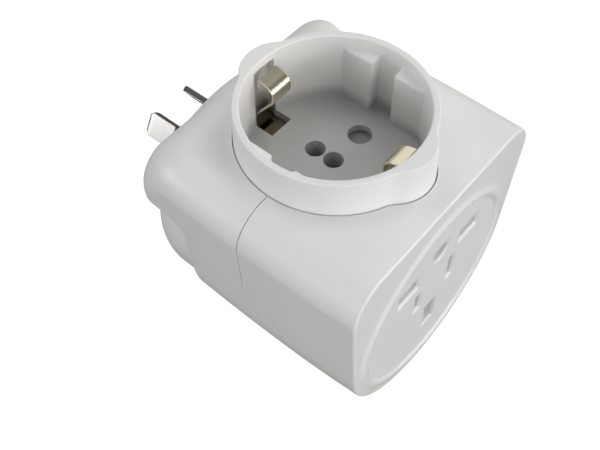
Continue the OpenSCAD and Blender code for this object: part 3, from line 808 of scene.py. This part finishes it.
e_lo, e_hi = mm("earth_pin")
l_lo, l_hi = mm("line_pin")
PIN_Y, PIN_Z = PIN_REACH * math.cos(math.radians(30)), PIN_REACH * 0.5
LINE_AT, NEUTRAL_AT = (-PIN_Y, PIN_Z, -30), (PIN_Y, PIN_Z, 30)
EARTH_AT = (0, (e_lo[2] + e_hi[2]) / 2, 0)
for side, place in (("line", LINE_AT), ("neutral", NEUTRAL_AT)):
    finish(turned(flat_pin(l_lo[0], l_hi[0], True), *place), side + "_blade", "case",
           NICKEL, side + "_pin")
    finish(turned(pin_sleeve(), *place), side + "_blade_sleeve", "case",
           SLEEVE, side + "_pin_sleeve")
finish(turned(flat_pin(e_lo[0], e_hi[0], False), *EARTH_AT), "earth_blade", "case",
       NICKEL, "earth_pin")


def plug_base():
    _, b_hi = mm("plug_base")
    ob = x_lathe("base", [(15.9, 0.0), (16.2, 0.05), (16.42, 0.22), (16.48, 0.5), (16.48, 3.05),
                          (18.5, 3.05), (18.5, b_hi[0])], n=192)
    slit = [(x, PIN_T + 0.04, PIN_W + 0.04, 0.28) for x in (-3, 20)]
    return cut(ob, [turned(prism("slit", slit, "x", (0, 0)), *place)
                    for place in (LINE_AT, NEUTRAL_AT, EARTH_AT)])


finish(plug_base(), "plug_face_disc", "case", WHITE, "plug_base")


# ---- earth clips --------------------------------------------------------------------------------
def smooth_path(pts):
    """Rounds a path's corners by cutting them three times."""
    p = np.array(pts, float)
    for _ in range(3):
        q = [p[0]]
        for a, b in zip(p[:-1], p[1:]):
            q += [a * 0.75 + b * 0.25, a * 0.25 + b * 0.75]
        q.append(p[-1])
        p = np.array(q)
    return p


def clip(s):
    """Bent strip, its path given as (distance from the cup's axis, height)."""
    path = smooth_path([(18.35, 37.35), (15.9, 36.6), (14.55, 35.4), (14.4, 33.9), (14.6, 32.7),
                        (15.6, 31.4), (18.3, 27.8), (19.35, 26.2), (19.45, 24.6), (19.45, 21.2)])
    stations = [(p, 5.8) for p in path] + [((19.45, 21.15), 3.0), ((19.45, 18.95), 3.0)]
    pts = np.array([p for p, _ in stations])
    tan = np.gradient(pts, axis=0)
    tan[-3:] = (0, -1)
    tan /= np.linalg.norm(tan, axis=1)[:, None]
    loops = []
    for (p, w), d in zip(stations, tan):
        nrm = np.array([-d[1], d[0]])
        rr = rounded_rect(w, 0.5, 0.17, 4)
        loops.append(np.c_[CUP_X + s * (p[0] + rr[:, 1] * nrm[0]), rr[:, 0],
                           p[1] + rr[:, 1] * nrm[1]])
    return loft("clip", loops)


finish(clip(-1), "rear_clip_strip", "rear_clip", CLIP_BRASS_PAINTED_SHADE,
       "rear_earth_clip", 50)
finish(clip(1), "front_clip_strip", "front_clip", CLIP_BRASS_PAINTED_SHADE,
       "front_earth_clip", 50)


# ---- front shutter's springs --------------------------------------------------------------------
def shutter_springs():
    """Two coils of round wire in one piece."""
    lo, hi = mm("front_shutter_springs")
    wire, turns, steps = 0.17, 8, 192
    r = (hi[0] - lo[0]) / 2 - wire
    length = hi[2] - lo[2]
    b = np.linspace(0, 2 * np.pi, 10, endpoint=False)
    made = []
    for s in (-1, 1):
        loops = []
        for i in range(steps + 1):
            a = 2 * math.pi * turns * i / steps
            q = r + wire * np.cos(b)
            z = lo[2] + wire + (length - 2 * wire) * i / steps + wire * np.sin(b)
            loops.append(np.c_[(lo[0] + hi[0]) / 2 + q * math.cos(a),
                               s * (hi[1] - r - wire) + q * math.sin(a), z])
        made.append(loft("coil", loops))
    ob = finish(join(made[0], made[1:]), "front_shutter_coils", "case", ZINC,
                "front_shutter_springs", 60)
    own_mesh(ob)


shutter_springs()


# ---- CAD pieces that keep their shape -----------------------------------------------------------
def dress(names, mat, bevel):
    """Paints CAD nodes and breaks their edges."""
    for n in names:
        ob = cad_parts[n]
        paint(ob, mat)
        ob.data.set_sharp_from_angle(angle=math.radians(35))
        if bevel:
            m = ob.modifiers.new("edges", "BEVEL")
            m.width = bevel / S
            m.segments = 2
            m.limit_method = "ANGLE"
            m.angle_limit = math.radians(50)
            m.harden_normals = False


# the strap gets the dark brass that stands in for the shade in the pockets
dress(["earth_strap"], STRAP_BRASS_PAINTED_SHADE, 0.08)
dress(["cup_earth_contact", "cup_line_contact", "cup_neutral_contact", "front_line_contact",
       "front_neutral_contact", "front_earth_contact", "line_busbar", "neutral_busbar",
       "earth_busbar"], BRASS, 0.06)
dress(["cup_contact_carrier", "front_shutter", "front_contact_carrier"], INNER, 0.1)
dress(["cup_shutter"], SHUTTER_GREY, 0.1)
dress(["cup_shutter_spring"], ZINC, 0)
dress(["case_screws", "carrier_screws"], ZINC, 0.08)


# ---- stage, light and camera --------------------------------------------------------------------
scene = bpy.context.scene
scene.view_settings.view_transform = "Standard"
scene.view_settings.look = "None"

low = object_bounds()[0][2] * S
corners = [(-2000, -2000), (2000, -2000), (2000, 2000), (-2000, 2000)]
floor = loft("floor", [[(x, y, z) for x, y in corners] for z in (low - 2.0, low - 0.05)])
fm = bpy.data.materials.new("floor_white")
fm.use_nodes = True
fb = fm.node_tree.nodes["Principled BSDF"]
fb.inputs["Base Color"].default_value = (0.1, 0.1, 0.1, 1)
fb.inputs["Roughness"].default_value = 0.9
fb.inputs["Specular IOR Level"].default_value = 0.1
fb.inputs["Emission Color"].default_value = (1, 1, 1, 1)
fb.inputs["Emission Strength"].default_value = 1.0
floor.data.materials.append(fm)
floor.visible_diffuse = False
floor.visible_glossy = False

world = bpy.data.worlds.new("studio")
scene.world = world
world.use_nodes = True
wn, wl = world.node_tree.nodes, world.node_tree.links
wn["Background"].inputs["Color"].default_value = (1.0, 1.0, 1.0, 1)
wn["Background"].inputs["Strength"].default_value = 0.14
# the camera sees plain white behind the floor
seen = wn.new("ShaderNodeBackground")
seen.inputs["Color"].default_value = (1, 1, 1, 1)
seen.inputs["Strength"].default_value = 1.0
# metal mirrors a studio that is bright low down towards +X and -Y, and dim elsewhere
where = wn.new("ShaderNodeTexCoord")
side = wn.new("ShaderNodeVectorMath")
side.operation = "DOT_PRODUCT"
side.inputs[1].default_value = (0.75, -0.66, 0.0)
wl.new(where.outputs["Generated"], side.inputs[0])
glow = wn.new("ShaderNodeMapRange")
glow.interpolation_type = "SMOOTHSTEP"
glow.inputs["From Min"].default_value = 0.08
glow.inputs["From Max"].default_value = 0.36
glow.inputs["To Min"].default_value = 0.12
glow.inputs["To Max"].default_value = 1.0
wl.new(side.outputs["Value"], glow.inputs["Value"])
mirrored = wn.new("ShaderNodeBackground")
wl.new(glow.outputs["Result"], mirrored.inputs["Strength"])
path = wn.new("ShaderNodeLightPath")
mixg = wn.new("ShaderNodeMixShader")
wl.new(path.outputs["Is Glossy Ray"], mixg.inputs["Fac"])
wl.new(wn["Background"].outputs["Background"], mixg.inputs[1])
wl.new(mirrored.outputs["Background"], mixg.inputs[2])
mixw = wn.new("ShaderNodeMixShader")
wl.new(path.outputs["Is Camera Ray"], mixw.inputs["Fac"])
wl.new(mixg.outputs["Shader"], mixw.inputs[1])
wl.new(seen.outputs["Background"], mixw.inputs[2])
wl.new(mixw.outputs["Shader"], wn["World Output"].inputs["Surface"])


def area(name, az, el, size, power, mirrored=True):
    """Round lamp one metre from the object, az degrees from +X towards +Y and el degrees up.

    A lamp that isn't mirrored lights the object but leaves no image in its metal."""
    a, e = math.radians(az), math.radians(el)
    target = Vector((CUP_X / S, 0, 0.01))
    pos = target + Vector((math.cos(e) * math.cos(a), math.cos(e) * math.sin(a), math.sin(e)))
    l = bpy.data.lights.new(name, "AREA")
    l.shape = "DISK"
    l.size = size
    l.energy = power
    ob = bpy.data.objects.new(name, l)
    scene.collection.objects.link(ob)
    ob.location = pos
    ob.rotation_euler = (target - pos).to_track_quat("-Z", "Y").to_euler()
    ob.visible_glossy = mirrored


area("front_low", 0, 10, 0.5, 2.0)
area("front_high", 0, 35, 0.5, 2.2)
area("rear_side", 225, 10, 0.5, 2.6)
area("side", 270, 10, 0.5, 1.6)
area("near_low", 315, 10, 0.5, 1.9)
area("rear_high", 180, 60, 0.5, 1.9, False)
area("rear_mid", 150, 30, 0.7, 1.1)
area("far_high", 75, 60, 0.5, 1.4, False)
area("top_card", 73, 62, 0.6, 0.25)
area("far_low", 90, 20, 0.5, 2.4, False)
area("spark", 29, 19, 0.16, 2.2)

cam_data = bpy.data.cameras.new("camera")
cam_data.sensor_width = 36.0
cam_data.lens = 55.505
cam_data.clip_start = 0.01
cam = bpy.data.objects.new("camera", cam_data)
scene.collection.objects.link(cam)
# the camera's right, up and back axes, one in each column
ax = Matrix(((0.7712, -0.5174, 0.3708), (0.6365, 0.6269, -0.4493), (0.0, 0.5825, 0.8128)))
cam.matrix_world = Matrix.Translation(Vector((0.11123, -0.10334, 0.17721))) @ ax.to_4x4()
scene.camera = cam
